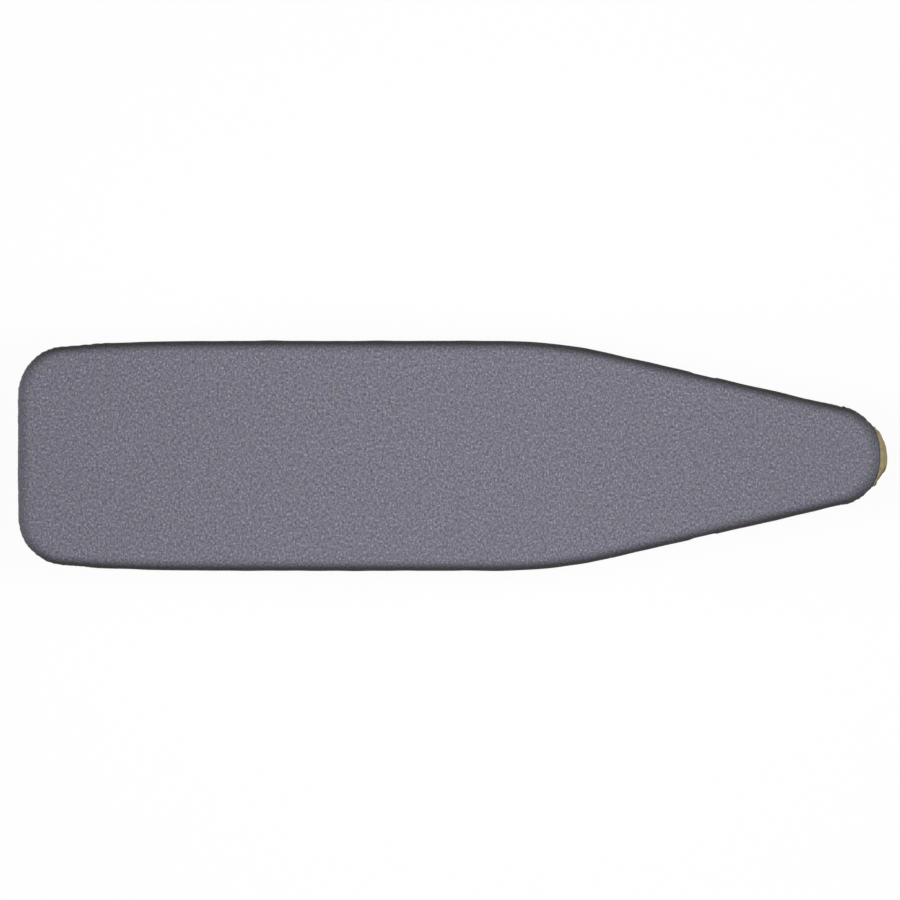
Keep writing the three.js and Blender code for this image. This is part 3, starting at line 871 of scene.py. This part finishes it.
class BOARDCOVER_OT_padding(CoverStep, bpy.types.Operator):
    """Makes the foam layer and the felt pad under the face cloth"""

    bl_idname = "boardcover.padding"
    bl_label = "Foam and felt"

    GRID = (30, 150)
    ROLL_ROWS = 6
    SIDE_ROWS = 3
    LUMPS = 0.0005
    LUMP_PITCH = 0.05

    def layer_roll(self, level):
        """Profile of the padded edge at a level, from its flat top down to the board."""
        width, height = self.sizes.roll_width, self.sizes.roll_height
        depth = FACE_HIGH.z - level
        roll_level = FACE_HIGH.z - height
        foot = math.asin((FELT_LOW.z - roll_level) / (height - depth))
        return arc_rows(width, roll_level, width - depth, height - depth, QUARTER, foot, self.ROLL_ROWS)

    def build(self, rows, lumps=0.0):
        """A body swept round the edge, with both ends of its profile filled and an uneven underside."""
        def place(run, row):
            point, normal = self.edge.at(run)
            inner = point - normal * row[0]
            return Vector((*inner, row[1])), Vector((*inner, 0))

        bm, rings = sweep_rows(self.edge.ring(*self.GRID), rows, place, closed=True)
        for ring in (rings[0], rings[-1]):
            fill_cap(bm, ring, *self.GRID)
        for vert in bm.verts:
            if abs(vert.co.z - FELT_LOW.z) < LEVEL_TOLERANCE:
                vert.co.z += lumps * noise.noise(vert.co / self.LUMP_PITCH)
        return bm

    def make(self):
        foam_rows = self.layer_roll(FOAM_HIGH.z) + self.layer_roll(FELT_HIGH.z + CLEARANCE)[::-1]
        foam = finish_mesh(self.build(foam_rows), "foam_pad", cloth_material("open_foam"))
        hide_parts("foam_layer")
        felt_rows = self.layer_roll(FELT_HIGH.z)
        felt_rows += line_rows(felt_rows[-1], (self.sizes.roll_width, FELT_LOW.z), self.SIDE_ROWS)
        felt = finish_mesh(self.build(felt_rows, self.LUMPS), "felt_mat", cloth_material("needled_felt"))
        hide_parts("felt_pad")


class BOARDCOVER_OT_hem(CoverStep, bpy.types.Operator):
    """Makes the tape casing round the raw edge, the elastic in it and the stitching along it"""

    bl_idname = "boardcover.hem"
    bl_label = "Hem casing and elastic"

    CHANNEL_ROWS = 12
    FLANGE_ROWS = 3
    PUCKER_PITCH = 0.008
    PUCKER = 0.0004
    PUCKER_STRAIGHT = 0.5  # share of the puckers that the straight sides have
    CORD_SIDES = 10
    WELD = 1e-6
    SEAM_INSET = 0.0022  # stitches in from the lower flange's edge

    def casing_rows(self, centre):
        """Profile of the tape's outside: upper flange, round channel and lower flange, as (inset, z)."""
        sizes = self.sizes
        lift = (CASING_HIGH.z - CASING_LOW.z) / 2
        neck = sizes.cloth_thickness / 2 + CLEARANCE + sizes.tape_thickness
        start = math.asin(neck / lift)
        channel = arc_rows(centre, HEM_LEVEL, lift, lift, start, 2 * math.pi - start, self.CHANNEL_ROWS)
        outer = sizes.return_width - sizes.tape_overlap
        upper, lower = (outer, HEM_LEVEL + neck), (outer, HEM_LEVEL - neck)
        return [upper, *line_rows(upper, channel[0], self.FLANGE_ROWS), *channel[1:],
                *line_rows(channel[-1], lower, self.FLANGE_ROWS)]

    def lift(self, run, inset):
        """How far the gathers lift the hem at an inset, no more than at the cloth's raw edge."""
        depth = (inset - self.sizes.hem_fold) / (self.sizes.return_width - self.sizes.hem_fold)
        return gather(self.edge, run) * min(depth, 1.0) ** GATHER_EASE

    def make(self):
        sizes, edge = self.sizes, self.edge
        runs = edge.ring(*FACE_GRID)
        centre = sizes.return_width + CLEARANCE + ELASTIC_RADIUS
        rows = developed(self.casing_rows(centre))

        def place(run, row):
            inset, z, travel = row
            point, normal = edge.at(run)
            pucker = wander(*point, 5.2, self.PUCKER_PITCH)
            swell = self.PUCKER * pucker * (self.PUCKER_STRAIGHT + bend(edge, run))
            away = Vector((inset - centre, z - HEM_LEVEL)).normalized()
            z += self.lift(run, inset) + swell * away.y
            inner = point - normal * (inset + swell * away.x)
            return Vector((*inner, z)), Vector((run, travel, 0))

        bm, _ = sweep_rows(runs, rows, place, closed=True)
        tape_piece = finish_mesh(bm, "hem_tape", shared_material("twill_weave"))
        thicken(tape_piece, sizes.tape_thickness)
        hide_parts("hem_casing")

        def place_cord(run, turn):
            point, normal = edge.at(run)
            inner = point - normal * (centre + ELASTIC_RADIUS * math.cos(turn))
            z = HEM_LEVEL + ELASTIC_RADIUS * math.sin(turn) + gather(edge, run)
            return Vector((*inner, z)), Vector((run, ELASTIC_RADIUS * turn, 0))

        turns = [2 * math.pi * index / self.CORD_SIDES for index in range(self.CORD_SIDES + 1)]
        bm, _ = sweep_rows(runs, turns, place_cord, closed=True)
        bmesh.ops.remove_doubles(bm, verts=bm.verts, dist=self.WELD)
        cord = finish_mesh(bm, "hem_elastic_cord", cloth_material("covered_elastic"))
        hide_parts("hem_elastic")

        inset = rows[-1][0] + self.SEAM_INSET
        path = []
        for run in [*runs, runs[0]]:
            point, normal = edge.at(run)
            z = rows[-1][1] + self.lift(run, inset) - THREAD_STANDS
            path.append(Vector((*(point - normal * inset), z)))
        sew("hem_stitching", along_path(path, sizes.stitch_pitch, DOWN), sizes.stitch_pitch, "tan_thread")


class BOARDCOVER_OT_pocket(CoverStep, bpy.types.Operator):
    """Makes the tan pocket under the nose, with its slack front and turned-over open edge"""

    bl_idname = "boardcover.pocket"
    bl_label = "Nose pocket"

    COLUMNS = 220
    ROWS = (("wall", 0, 16), ("fold", 1, 9), ("floor", 1, 12), ("hem", 0, 4))  # part, first and last row
    THICKNESS = 0.0006
    SHOWS = math.radians(38)
    SIDE_HEIGHT = 0.009
    BELLY = 0.013  # height at which the slack front stands out furthest
    FULL_SLACK = 0.006
    GAP = 0.0002  # between the front's sewn top edge and the face cloth
    LOOSE = 0.0004  # and further down
    RISE = 0.0002  # front's top edge above the frame's
    RIPPLE = 0.0009
    RIPPLE_PITCH = 0.008
    WAVE = 0.0011  # slack waves of the open edge
    WAVE_PITCH = 0.016
    WAVE_STRETCH = 0.3
    WAVE_SLANT = 0.25
    HEM_WIDTH = 0.009
    HEM_TURN = (0.0004, 0.0012)  # turned-over edge, back from the open edge and up from the floor
    FLAT_SHARE = 0.62  # of the flat cloth's rectangle
    SEAMS = (("wall", 0.25), ("floor", 0.90))  # parts that are stitched, and the share of each
    WALL_FACES = Vector((1, 0, 0.4))  # roughly the way that the front faces
    SEAM_ENDS = 2  # columns without stitches at each end of a seam
    RUBBED = (-7, 34)  # bearings beyond which the outermost fold gets painted shade, in degrees
    PAINTED_SHADE_EASE = 9
    PAINTED_SHADE_SLOPE = 2.2  # growth of the painted shade outwards across the slack, and where it starts
    PAINTED_SHADE_START = 1.1
    # Slack of the front by its bearing from the middle of the nose: degrees towards +Y, and metres
    SLACK = ((-46, 0.0), (-38, 0.0006), (-32.5, 0.0043), (-28.5, 0.0027), (-25, 0.0046), (-20, 0.0058),
             (-15.5, 0.0086), (-10.5, 0.0093), (-5, 0.0090), (6, 0.0079), (13, 0.0072), (18, 0.0057),
             (25, 0.0053), (31.5, 0.0028), (37, 0.0006), (44, 0.0))

    def slack(self, bearing):
        """How far the front stands out at a bearing, eased from one place in the table to the next."""
        places = [place for place, _ in self.SLACK]
        if not places[0] < bearing < places[-1]:
            return 0.0
        index = bisect.bisect_right(places, bearing)
        (start, low), (end, high) = self.SLACK[index - 1], self.SLACK[index]
        return low + (high - low) * smooth_step((bearing - start) / (end - start))

    def rubbed(self, spot):
        """How much painted shade a point of the cloth gets: 1 on its outermost fold, beside the slack front.
        """
        away = spot.xy - self.edge.nose
        bearing = math.degrees(math.atan2(away.y, away.x))
        low, high = self.RUBBED
        beside = max(smooth_step((low - bearing) / self.PAINTED_SHADE_EASE),
                     smooth_step((bearing - high) / self.PAINTED_SHADE_EASE))
        slack = max(self.slack(bearing), self.LOOSE)
        out = (away.length - self.sizes.nose_radius) / slack
        return beside * smooth_step(self.PAINTED_SHADE_SLOPE * out - self.PAINTED_SHADE_START)

    def profile(self, run, part, share):
        """Inset and height of a row of the pocket, at a share of its wall, fold, floor or hem."""
        sizes, edge = self.sizes, self.edge
        fold_level = FACE_LOW.z + sizes.hem_fold
        skin = self.GAP + self.THICKNESS
        fold_centre = sizes.hem_fold + skin
        point, normal = edge.at(run)
        heading = math.atan2(normal.y, normal.x)
        slack = self.slack(math.degrees(heading))
        belly = fold_level + (self.BELLY - fold_level) * smooth_step(slack / self.FULL_SLACK)
        down = share * QUARTER
        if part == "wall":
            swell = math.cos(min(abs(heading) / self.SHOWS, 1.0) * QUARTER)
            top = self.SIDE_HEIGHT + (POCKET_HIGH.z + self.RISE - self.SIDE_HEIGHT) * swell
            z = belly + (top - belly) * math.cos(down)
            ripple = self.RIPPLE * wander(run, 0.0, 9.1, self.RIPPLE_PITCH) * swell * math.sin(2 * down)
            puff = (slack + self.LOOSE) * math.sin(down) + ripple
            return roll_inset(sizes, z) + skirt_shift(edge, run, z) - skin - puff, z
        if part == "fold":
            width = fold_centre + skin + slack + self.LOOSE - skirt_shift(edge, run, belly)
            return fold_centre - width * math.cos(down), belly * (1 - math.sin(down))
        reach = (point.x - POCKET_LOW.x) / normal.x
        if part == "floor":
            aslant = point.y - self.WAVE_SLANT * point.x * share
            wave = 0.5 + wander(self.WAVE_STRETCH * point.x, aslant, 4.4, self.WAVE_PITCH)
            return fold_centre + (reach - fold_centre) * share, self.WAVE * wave * share * share
        back, up = self.HEM_TURN
        return reach - back - share * self.HEM_WIDTH, self.profile(run, "floor", 1.0)[1] + up

    def place(self, run, row):
        """Point of the pocket at a run, and its place on the flat cloth."""
        point, normal = self.edge.at(run)
        inset, z = self.profile(run, *row)
        inner = point - normal * inset
        turned_in = 0.0 if row[0] == "wall" else inset - self.profile(run, "wall", 1.0)[0]
        return Vector((*inner, z)), Vector((run, turned_in - z, 0))

    def make(self):
        sizes, edge = self.sizes, self.edge
        runs = [edge.nose_run * (2 * index / self.COLUMNS - 1) for index in range(self.COLUMNS + 1)]
        rows = [(part, step / last) for part, first, last in self.ROWS for step in range(first, last + 1)]
        bm, _ = sweep_rows(runs, rows, self.place, closed=False)
        # Painted shade on the outermost fold, kept as a value on each point
        shade_layer = bm.verts.layers.float.new("rubbed")
        for vert in bm.verts:
            vert[shade_layer] = self.rubbed(vert.co)
        pocket = finish_mesh(bm, "nose_pocket_cloth", shared_material("twill_weave"))
        thicken(pocket, self.THICKNESS)
        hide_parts("nose_pocket")

        places = []
        for row in self.SEAMS:
            on_wall = row[0] == "wall"
            seam = []
            for run in runs[self.SEAM_ENDS:-self.SEAM_ENDS]:
                out = Vector((*edge.at(run)[1], 0)) if on_wall else DOWN
                seam.append(self.place(run, row)[0] + out * THREAD_STANDS)
            places += along_path(seam, sizes.stitch_pitch, self.WALL_FACES if on_wall else DOWN)
        sew("pocket_stitching", places, sizes.stitch_pitch, "tan_thread")


class BOARDCOVER_OT_straps(CoverStep, bpy.types.Operator):
    """Makes the three pairs of webbing straps, each sewn under the hem"""

    bl_idname = "boardcover.straps"
    bl_label = "Webbing straps"

    RIBS = 16
    RIB_HEIGHT = 0.00009
    EDGE_DROP = 0.3  # of the outermost ribs, as a share of the thickness
    THICKNESS = 0.0011
    HALF = 0.0006  # middle of the webbing below the top of its solid
    ROW_PITCH = 0.0025
    EASINGS = 2
    BEND_REACH = 0.007
    STITCH = 0.0026
    SEAM_MARGIN = 0.0015
    SEWN_RUN = 0.010  # level end of a strap, under the return
    DROP_RUN = 0.006  # from there down to the free strap
    RAMP_HEIGHT = 0.002  # a strap whose solid is higher than this climbs over the one that it closes on
    RAMP_END = 0.050  # end of that climb, from the middle of the cover
    ROUNDING = 1e-9

    def section(self, width):
        """Closed outline of the webbing, with lengthwise ribs on both faces, as (x, z)."""
        steps = 2 * self.RIBS
        upper = []
        for step in range(steps + 1):
            x = width * (step / steps - 0.5)
            rib = self.RIB_HEIGHT if step % 2 else 0.0
            edge_drop = self.EDGE_DROP * self.THICKNESS if step in (0, steps) else 0.0
            upper.append((x, self.THICKNESS / 2 - self.RIB_HEIGHT + rib - edge_drop))
        return upper + [(x, -z) for x, z in reversed(upper)]

    def span(self, node, side):
        """Outer and inner end of a solid on one side of the cover, across it."""
        ends = sorted((side * end.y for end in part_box(node)), reverse=True)
        return [side * end for end in ends]

    def sewn_box(self, sewn, side):
        """Places of the stitches in the crossed box that holds a strap's end to the hem."""
        low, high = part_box(sewn)
        margin = self.SEAM_MARGIN
        outer = self.span(sewn, side)[0] - side * margin
        inner = outer - side * (self.SEWN_RUN - 2 * margin)
        corners = rectangle(low.x + 2 * margin, high.x - 2 * margin, outer, inner,
                            high.z - self.THICKNESS - THREAD_STANDS)
        lines = [corners + corners[:1], corners[0::2], corners[1::2]]
        return [place for line in lines for place in along_path(line, self.STITCH, DOWN)]

    def path(self, strap, side):
        """Middle line of one strap in its own plane, from its sewn end to its tip, as (y, z)."""
        low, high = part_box(strap)
        out = self.span(f"{strap}_end", side)[0]
        hinge, tip = self.span(strap, side)
        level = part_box(f"{strap}_end")[1].z - self.HALF
        points = [(out, level), (out - side * self.SEWN_RUN, level),
                  (out - side * (self.SEWN_RUN + self.DROP_RUN), self.HALF), (hinge, self.HALF)]
        if high.z - low.z > self.RAMP_HEIGHT:
            return points + [(side * self.RAMP_END, high.z - self.HALF), (tip, high.z - self.HALF)]
        return points + [(tip, self.HALF)]

    def sampled(self, points):
        """The path in short even steps, with its corners eased."""
        lengths = [math.dist(a, b) for a, b in zip(points, points[1:])]
        whole = sum(lengths)
        count = round(whole / self.ROW_PITCH)
        line = []
        for index in range(count + 1):
            left = whole * index / count
            for a, b, length in zip(points, points[1:], lengths):
                if left <= length + self.ROUNDING:
                    line.append(Vector(a).lerp(Vector(b), min(left / length, 1.0)))
                    break
                left -= length
        for _ in range(self.EASINGS):
            eased = [(a + 2 * b + c) / 4 for a, b, c in zip(line, line[1:], line[2:])]
            line = [line[0], *eased, line[-1]]
        return line

    def webbing(self, name, side):
        """One strap as a mesh under construction, and the middle of its hinge line."""
        low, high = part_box(name)
        middle = (low.x + high.x) / 2
        line = self.sampled(self.path(name, side))
        travel = [0.0]
        for a, b in zip(line, line[1:]):
            travel.append(travel[-1] + (b - a).length)

        def place(column, row):
            x, z = column
            before, after = line[max(row - 1, 0)], line[min(row + 1, len(line) - 1)]
            along = (after - before).normalized()
            across = Vector((-along.y, along.x)) * (1 if along.x > 0 else -1)
            spot = line[row] + across * z
            return Vector((middle + x, *spot)), Vector((x, travel[row], 0))

        bm, rings = sweep_rows(self.section(high.x - low.x), range(len(line)), place, closed=True)
        for ring in (rings[0], rings[-1]):
            bmesh.ops.edgeloop_fill(bm, edges=ring)
        return bm, Vector((middle, self.span(name, side)[0], 0))

    def make(self):
        material = cloth_material("elastic_webbing")
        for station in STATIONS:
            for length, side in (("long", -1), ("short", 1)):
                name = f"{station}_{length}_strap"
                sew(f"{name}_box_stitch", self.sewn_box(f"{name}_end", side), self.STITCH, "grey_thread")
                bm, hinge = self.webbing(name, side)
                strap = finish_mesh(bm, f"{name}_webbing", material, body=None)
                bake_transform(strap)
                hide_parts(name, f"{name}_end")


class BOARDCOVER_OT_patches(CoverStep, bpy.types.Operator):
    """Makes the hook and loop patches, each a woven base with its own pile, and their stitching"""

    bl_idname = "boardcover.patches"
    bl_label = "Hook and loop patches"

    BASE = 0.0005
    LOOP_SINK = 0.0003  # how far the loop patch's base is let into its strap
    CORNER = 0.004
    CORNER_STEPS = 5
    RIM = 0.00015
    RIM_STEPS = 2
    RIM_ANGLE = 1.0
    STITCH = 0.0026
    SEAM_INSET = 0.002
    STRAND_SIDES = 4
    STRAND_STEPS = 4
    WELD = 1e-7
    PILE_MARGIN = 0.0035
    TURN_CHANGE = 4000  # how quickly the strands' turns change from place to place
    # Radius, thickness, turn and stem of a strand, strands' pitch, and how far each is turned its own way
    PILES = {
        "hook": (0.0004, 0.00013, math.radians(215), 0.0005, 0.0019, 0.5),
        "loop": (0.0006, 0.00012, math.radians(180), 0.0003, 0.0016, 3.0),
    }

    def base(self, low, high, z):
        """Flat base with rounded corners, from z upwards."""
        def round_off(edges, offset, steps):
            bmesh.ops.bevel(bm, geom=edges, offset=offset, offset_type="OFFSET", segments=steps, profile=0.5,
                            affect="EDGES", material=-1)

        bm = bmesh.new()
        bmesh.ops.create_cube(bm, size=1.0)
        size = high - low
        middle = (low + high) / 2
        bmesh.ops.scale(bm, verts=bm.verts, vec=(size.x, size.y, self.BASE))
        bmesh.ops.translate(bm, verts=bm.verts, vec=(middle.x, middle.y, z + self.BASE / 2))
        upright = [edge for edge in bm.edges
                   if abs(edge.verts[0].co.z - edge.verts[1].co.z) > LEVEL_TOLERANCE]
        round_off(upright, self.CORNER, self.CORNER_STEPS)
        rims = [edge for edge in bm.edges if abs(edge.calc_face_angle(0.0)) > self.RIM_ANGLE]
        round_off(rims, self.RIM, self.RIM_STEPS)
        return bm

    def strand(self, radius, thick, turn, stem):
        """One hook or loop: a thin strand spun through a turn, standing on a short stem."""
        bm = bmesh.new()
        made = bmesh.ops.create_circle(bm, cap_ends=True, radius=thick, segments=self.STRAND_SIDES)
        bmesh.ops.translate(bm, verts=made["verts"], vec=(radius, 0, 0))
        grown = bmesh.ops.extrude_face_region(bm, geom=bm.faces[:])["geom"]
        tip = [item for item in grown if isinstance(item, bmesh.types.BMVert)]
        bmesh.ops.translate(bm, verts=tip, vec=(0, 0, stem))
        faces = [item for item in grown if isinstance(item, bmesh.types.BMFace)]
        bmesh.ops.spin(bm, geom=faces, cent=(0, 0, stem), axis=(0, -1, 0), angle=turn,
                       steps=self.STRAND_STEPS, use_merge=False, use_duplicate=False)
        bmesh.ops.remove_doubles(bm, verts=bm.verts, dist=self.WELD)
        buried = [face for face in bm.faces if all(len(edge.link_faces) > 2 for edge in face.edges)]
        bmesh.ops.delete(bm, geom=buried, context="FACES_ONLY")
        bmesh.ops.recalc_face_normals(bm, faces=bm.faces)
        return to_mesh(bm, "strand")

    def pile_places(self, low, high, z, pitch, jitter, tip_over):
        """Places for the pile on a patch, in staggered rows, each turned a little its own way."""
        places = []
        margin = self.PILE_MARGIN
        rows = int((high.y - low.y - 2 * margin) / pitch)
        count = int((high.x - low.x - 2 * margin) / pitch)
        for row in range(rows + 1):
            for index in range(count + (row % 2 == 0)):
                x = low.x + margin + (index + 0.5 * (row % 2)) * pitch
                y = low.y + margin + row * pitch
                turn = noise.noise(Vector((x, y, 0.5)) * self.TURN_CHANGE) * jitter
                spot = Matrix.Translation((x, y, z)) @ Matrix.Rotation(turn, 4, "Z")
                places.append(spot @ Matrix.Rotation(tip_over, 4, "X"))
        return places

    def make(self):
        inset = self.SEAM_INSET
        tapes = {kind: cloth_material(f"{kind}_tape") for kind in self.PILES}
        for station in STATIONS:
            for kind, length in (("hook", "long"), ("loop", "short")):
                patch, strap = f"{station}_{kind}_patch", f"{station}_{length}_strap"
                low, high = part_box(patch)
                strap_low, strap_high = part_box(strap)
                if kind == "hook":
                    z, pile_z, tip_over = strap_high.z, strap_high.z + self.BASE, 0.0
                    seam_z, seam_up = strap_low.z, DOWN
                else:
                    z = pile_z = high.z + self.LOOP_SINK - self.BASE
                    tip_over = math.pi
                    seam_z, seam_up = strap_high.z, UP
                pad = finish_mesh(self.base(low, high, z), f"{station}_{kind}_base", tapes[kind], strap)
                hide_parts(patch)
                *strand, pitch, jitter = self.PILES[kind]
                places = self.pile_places(low, high, pile_z, pitch, jitter, tip_over)
                scatter(f"{station}_{kind}s", self.strand(*strand), places, tapes[kind], strap)
                corners = rectangle(low.x + inset, high.x - inset, low.y + inset, high.y - inset, seam_z)
                seam = along_path(corners + corners[:1], self.STITCH, seam_up)
                sew(f"{station}_{kind}_stitching", seam, self.STITCH, "grey_thread", strap)


class BOARDCOVER_OT_stage(CoverStep, bpy.types.Operator):
    """Sets the pale floor, the soft light and the camera straight above"""

    bl_idname = "boardcover.stage"
    bl_label = "Stage"

    PIXEL = 0.001598  # metres to a pixel of the 900 by 900 picture
    MIDDLE_PIXEL = (450, 450)
    REAR_PIXEL = 17.9
    AXIS_PIXEL = 455.8
    CAMERA_HEIGHT = 40.0
    SENSOR = 36
    FLOOR_HALF = 12.0
    FLOOR_ROUGHNESS = 0.9
    FLOOR_BOUNCE = 0.06
    FLOOR_GLOW = 0.95  # share of the floor's look that no shadow reaches
    SKY = 0.06
    LAMP_HEIGHT = 1.8
    LAMP_AHEAD = 0.08  # of the cover's middle, towards the nose
    LAMP_SIZE = (1.0, 0.4)
    LAMP_POWER = 15.4
    # Strength, and tilt and spread in degrees, of the light from each end and from below
    SUNS = {
        "rear_light": (1.65, -59, 36),
        "nose_light": (1.65, 59, 36),
        "under_light": (2.9, -174, 50),
    }

    def floor(self):
        """Wide floor that is pale to the eye and duller to bounced light, and clear from below."""
        bm = bmesh.new()
        bmesh.ops.create_grid(bm, x_segments=1, y_segments=1, size=self.FLOOR_HALF)
        bmesh.ops.translate(bm, verts=bm.verts, vec=(0, 0, -self.sizes.floor_drop))
        white = bpy.context.scene.cover_colours.floor
        material, shader = plain_material("pale_floor", self.FLOOR_ROUGHNESS)
        tree = material.node_tree
        seen = seen_mask(tree)
        colour = mix_colours(seen, (self.FLOOR_BOUNCE,) * 3, white)
        tree.links.new(colour, shader.inputs["Base Color"])
        glow = add_node(tree, "ShaderNodeEmission", {"Color": (*white, 1.0)})
        look = add_node(tree, "ShaderNodeMixShader", {0: maths("MULTIPLY", seen, self.FLOOR_GLOW),
                                                      1: shader.outputs[0], 2: glow.outputs[0]})
        below = add_node(tree, "ShaderNodeNewGeometry").outputs["Backfacing"]
        clear = add_node(tree, "ShaderNodeBsdfTransparent")
        mixed = add_node(tree, "ShaderNodeMixShader",
                         {0: below, 1: look.outputs[0], 2: clear.outputs[0]})
        tree.links.new(mixed.outputs[0], tree.nodes["Material Output"].inputs["Surface"])
        plane = finish_mesh(bm, "floor", material, body=None, outward=False)
        plane.visible_shadow = False

    def world(self, scene):
        """Even dim sky that looks white to the eye."""
        scene.world = bpy.data.worlds.new("studio")
        scene.world.use_nodes = True
        tree = scene.world.node_tree
        sky = tree.nodes["Background"].inputs
        tree.links.new(maths("MULTIPLY_ADD", seen_mask(tree), 1 - self.SKY, self.SKY), sky["Strength"])
        sky["Color"].default_value = (1, 1, 1, 1)

    def lamps(self, scene):
        """A long soft lamp above the middle, light from both ends, and one from below for the underside."""
        above = bpy.data.lights.new("overhead_lamp", "AREA")
        above.shape = "ELLIPSE"
        above.size, above.size_y = self.LAMP_SIZE
        above.energy = self.LAMP_POWER
        lamps = [(above, self.LAMP_AHEAD, 0)]
        for name, (strength, tilt, spread) in self.SUNS.items():
            light = bpy.data.lights.new(name, "SUN")
            light.energy = strength
            light.angle = math.radians(spread)
            lamps.append((light, 0, math.radians(tilt)))
        for data, ahead, tilt in lamps:
            lamp = bpy.data.objects.new(data.name, data)
            lamp.location = (ahead, 0, self.LAMP_HEIGHT)
            lamp.rotation_euler = (0, tilt, 0)
            lamp.visible_camera = False
            scene.collection.objects.link(lamp)

    def camera(self, scene):
        """A camera high above the cover, so that its picture lines up with the photograph."""
        data = bpy.data.cameras.new("camera")
        camera = bpy.data.objects.new("camera", data)
        scene.collection.objects.link(camera)
        data.sensor_width = self.SENSOR
        data.lens = self.SENSOR * (self.CAMERA_HEIGHT - FACE_HIGH.z) / (2 * self.MIDDLE_PIXEL[0] * self.PIXEL)
        camera.location = (
            FACE_LOW.x + (self.MIDDLE_PIXEL[0] - self.REAR_PIXEL) * self.PIXEL,
            (self.AXIS_PIXEL - self.MIDDLE_PIXEL[1]) * self.PIXEL,
            self.CAMERA_HEIGHT,
        )
        scene.camera = camera

    def make(self):
        scene = bpy.context.scene
        self.floor()
        self.world(scene)
        self.lamps(scene)
        self.camera(scene)
        scene.view_settings.view_transform = "Standard"


class BOARDCOVER_PT_panel(bpy.types.Panel):
    """Lists the steps of the cover in the sidebar"""

    bl_idname = "BOARDCOVER_PT_panel"
    bl_label = "Ironing board cover"
    bl_space_type = "VIEW_3D"
    bl_region_type = "UI"
    bl_category = "Cover"

    def draw(self, context):
        for step in STEPS:
            self.layout.operator(step.bl_idname)
        for group in (context.scene.cover_sizes, context.scene.cover_colours):
            for name in group.bl_rna.properties.keys():
                if name not in ("rna_type", "name"):
                    self.layout.prop(group, name)


STEPS = (
    BOARDCOVER_OT_stage,
    BOARDCOVER_OT_face,
    BOARDCOVER_OT_padding,
    BOARDCOVER_OT_hem,
    BOARDCOVER_OT_pocket,
    BOARDCOVER_OT_straps,
    BOARDCOVER_OT_patches,
)
CLASSES = (CoverSizes, CoverColours, *STEPS, BOARDCOVER_PT_panel)


def register():
    for item in CLASSES:
        bpy.utils.register_class(item)
    bpy.types.Scene.cover_sizes = bpy.props.PointerProperty(type=CoverSizes)
    bpy.types.Scene.cover_colours = bpy.props.PointerProperty(type=CoverColours)


def unregister():
    del bpy.types.Scene.cover_colours
    del bpy.types.Scene.cover_sizes
    for item in reversed(CLASSES):
        bpy.utils.unregister_class(item)


def main():
    register()
    bpy.ops.boardcover.stage()
    bpy.ops.boardcover.face()
    bpy.ops.boardcover.padding()
    bpy.ops.boardcover.hem()
    bpy.ops.boardcover.pocket()
    bpy.ops.boardcover.straps()
    bpy.ops.boardcover.patches()


if __name__ == "__main__":
    main()
